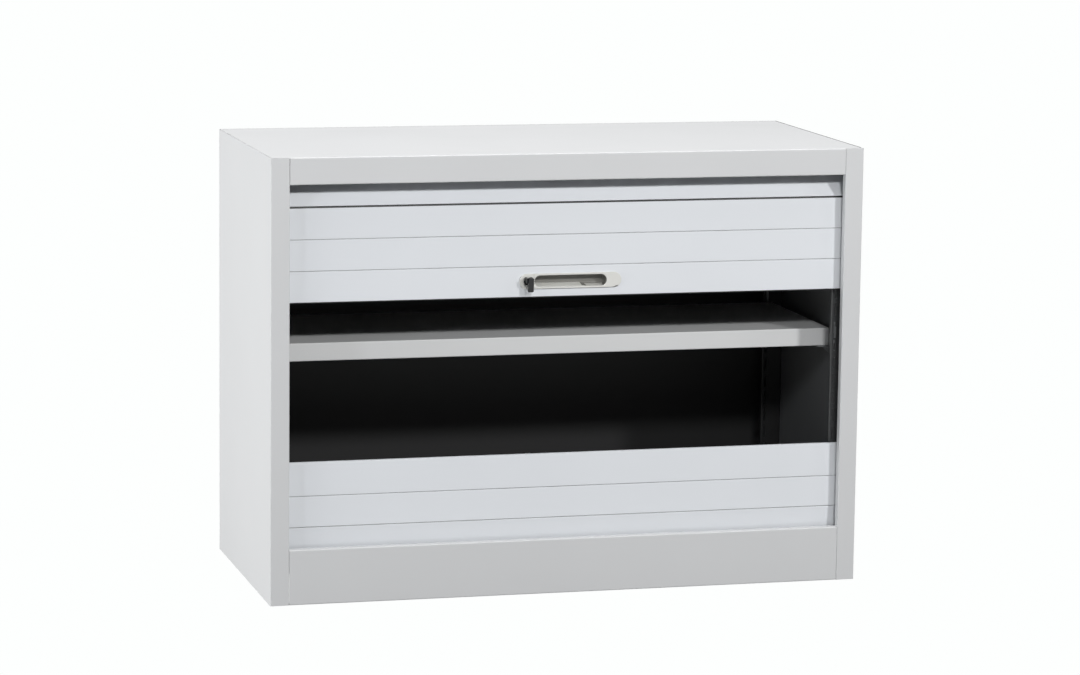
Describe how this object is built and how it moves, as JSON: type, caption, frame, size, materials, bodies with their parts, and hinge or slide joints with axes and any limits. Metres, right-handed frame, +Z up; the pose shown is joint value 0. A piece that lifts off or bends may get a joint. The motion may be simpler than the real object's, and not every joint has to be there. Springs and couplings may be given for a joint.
{
  "type": "roll front tool cabinet",
  "caption": "Low wide steel tool cabinet with a shelf and two interlocking slat shutters, one rolling down from the top and one up from the bottom, with a recessed pull and a cam lock.",
  "frame": {"origin": "middle of the cabinet's underside, on the floor", "axes": "+X to the right as seen from the front, +Y from the front to the back, +Z up"},
  "size_m": [1, 0.46, 0.73],
  "materials": {
    "body_paint": "light grey powder coat, fine orange peel, semi-matt",
    "interior_paint": "near-black powder coat, semi-matt",
    "galvanised_steel": "zinc plated",
    "coated_aluminium": "light grey powder coat on extruded aluminium, semi-matt",
    "nylon": "moulded black nylon",
    "pull_plastic": "moulded light grey plastic, satin",
    "black_plated_metal": "black zinc plating, satin",
    "key_plastic": "moulded black plastic, satin",
    "seal_rubber": "soft black rubber"
  },
  "bodies": {
    "cabinet": {"left_side_panel": "body_paint", "right_side_panel": "body_paint", "top_panel": "body_paint", "plinth_panel": "body_paint", "back_panel": "interior_paint", "back_panel_rivets": "interior_paint", "floor_panel": "interior_paint", "ceiling_panel": "interior_paint", "left_front_upright": "interior_paint", "right_front_upright": "interior_paint", "left_rear_upright": "interior_paint", "right_rear_upright": "interior_paint", "shelf": "body_paint", "shelf_clips": "galvanised_steel", "left_shutter_guide": "galvanised_steel", "right_shutter_guide": "galvanised_steel", "left_upper_rail": "galvanised_steel", "right_upper_rail": "galvanised_steel", "left_lower_rail": "galvanised_steel", "right_lower_rail": "galvanised_steel"},
    "upper_shutter": {"upper_slat_1": "coated_aluminium", "upper_slat_2": "coated_aluminium", "upper_slat_3": "coated_aluminium", "upper_flat_gliders": "nylon", "pull_moulding": "pull_plastic", "pull_screw": "galvanised_steel", "lock_housing": "black_plated_metal", "lock_nut": "black_plated_metal", "upper_edge_seal": "seal_rubber"},
    "lock": {"lock_plug": "black_plated_metal", "lock_cam": "black_plated_metal", "cam_screw": "black_plated_metal", "key_shank": "black_plated_metal", "key_hinge_pin": "black_plated_metal"},
    "key_handle": {"key_bow": "key_plastic"},
    "lower_shutter": {"lower_slat_1": "coated_aluminium", "lower_slat_2": "coated_aluminium", "lower_flat_gliders": "nylon", "lock_keeper": "galvanised_steel"},
    "upper_curtain_4": {"upper_slat_4": "coated_aluminium", "upper_gliders_4": "nylon"},
    "upper_curtain_5": {"upper_slat_5": "coated_aluminium", "upper_gliders_5": "nylon"},
    "upper_curtain_6": {"upper_slat_6": "coated_aluminium", "upper_gliders_6": "nylon"},
    "upper_curtain_7": {"upper_slat_7": "coated_aluminium", "upper_gliders_7": "nylon"},
    "lower_curtain_3": {"lower_slat_3": "coated_aluminium", "lower_gliders_3": "nylon"},
    "lower_curtain_4": {"lower_slat_4": "coated_aluminium", "lower_gliders_4": "nylon"},
    "lower_curtain_5": {"lower_slat_5": "coated_aluminium", "lower_gliders_5": "nylon"},
    "lower_curtain_6": {"lower_slat_6": "coated_aluminium", "lower_gliders_6": "nylon"}
  },
  "joints": [
    {"name": "upper_shutter_slide", "type": "slide", "parent": "cabinet", "child": "upper_shutter", "axis": [0, 0, -1], "range_m": [0, 0.13]},
    {"name": "lower_shutter_slide", "type": "slide", "parent": "cabinet", "child": "lower_shutter", "axis": [0, 0, 1], "range_m": [0, 0.13]},
    {"name": "upper_slat_4_hinge", "type": "hinge", "parent": "upper_shutter", "child": "upper_curtain_4", "pos_m": [0, -0.2055, 0.6462], "axis": [1, 0, 0], "range_deg": [0, 40.14]},
    {"name": "upper_slat_5_hinge", "type": "hinge", "parent": "upper_curtain_4", "child": "upper_curtain_5", "pos_m": [0, -0.17244, 0.68543], "axis": [1, 0, 0], "range_deg": [0, 45.9]},
    {"name": "upper_slat_6_hinge", "type": "hinge", "parent": "upper_curtain_5", "child": "upper_curtain_6", "pos_m": [0, -0.12127, 0.689], "axis": [-1, 0, 0], "range_deg": [0, 8.35]},
    {"name": "upper_slat_7_hinge", "type": "hinge", "parent": "upper_curtain_6", "child": "upper_curtain_7", "pos_m": [0, -0.06997, 0.689], "axis": [-1, 0, 0], "range_deg": [0, 54.65]},
    {"name": "lower_slat_3_hinge", "type": "hinge", "parent": "lower_shutter", "child": "lower_curtain_3", "pos_m": [0, -0.2055, 0.124], "axis": [-1, 0, 0], "range_deg": [0, 4.56]},
    {"name": "lower_slat_4_hinge", "type": "hinge", "parent": "lower_curtain_3", "child": "lower_curtain_4", "pos_m": [0, -0.20144, 0.07286], "axis": [-1, 0, 0], "range_deg": [0, 47.82]},
    {"name": "lower_slat_5_hinge", "type": "hinge", "parent": "lower_curtain_4", "child": "lower_curtain_5", "pos_m": [0, -0.16083, 0.04152], "axis": [-1, 0, 0], "range_deg": [0, 37.1]},
    {"name": "lower_slat_6_hinge", "type": "hinge", "parent": "lower_curtain_5", "child": "lower_curtain_6", "pos_m": [0, -0.10953, 0.041], "axis": [1, 0, 0], "range_deg": [0, 21.54]},
    {"name": "lock_turn", "type": "hinge", "parent": "upper_shutter", "child": "lock", "pos_m": [-0.0707, -0.21, 0.5183], "axis": [0, -1, 0], "range_deg": [0, 90]},
    {"name": "key_fold", "type": "hinge", "parent": "lock", "child": "key_handle", "pos_m": [-0.0727, -0.2242, 0.5223], "axis": [-1, 0, 0], "range_deg": [0, 90]}
  ],
  "couplings": [
    {"joint": "upper_slat_4_hinge", "follows": "upper_shutter_slide", "rad_per_m": 5.3867},
    {"joint": "upper_slat_5_hinge", "follows": "upper_shutter_slide", "rad_per_m": 6.1603},
    {"joint": "upper_slat_6_hinge", "follows": "upper_shutter_slide", "rad_per_m": 1.1183},
    {"joint": "upper_slat_7_hinge", "follows": "upper_shutter_slide", "rad_per_m": 7.3347},
    {"joint": "lower_slat_3_hinge", "follows": "lower_shutter_slide", "rad_per_m": 0.60916},
    {"joint": "lower_slat_4_hinge", "follows": "lower_shutter_slide", "rad_per_m": 6.4181},
    {"joint": "lower_slat_5_hinge", "follows": "lower_shutter_slide", "rad_per_m": 4.978},
    {"joint": "lower_slat_6_hinge", "follows": "lower_shutter_slide", "rad_per_m": 2.8891}
  ]
}
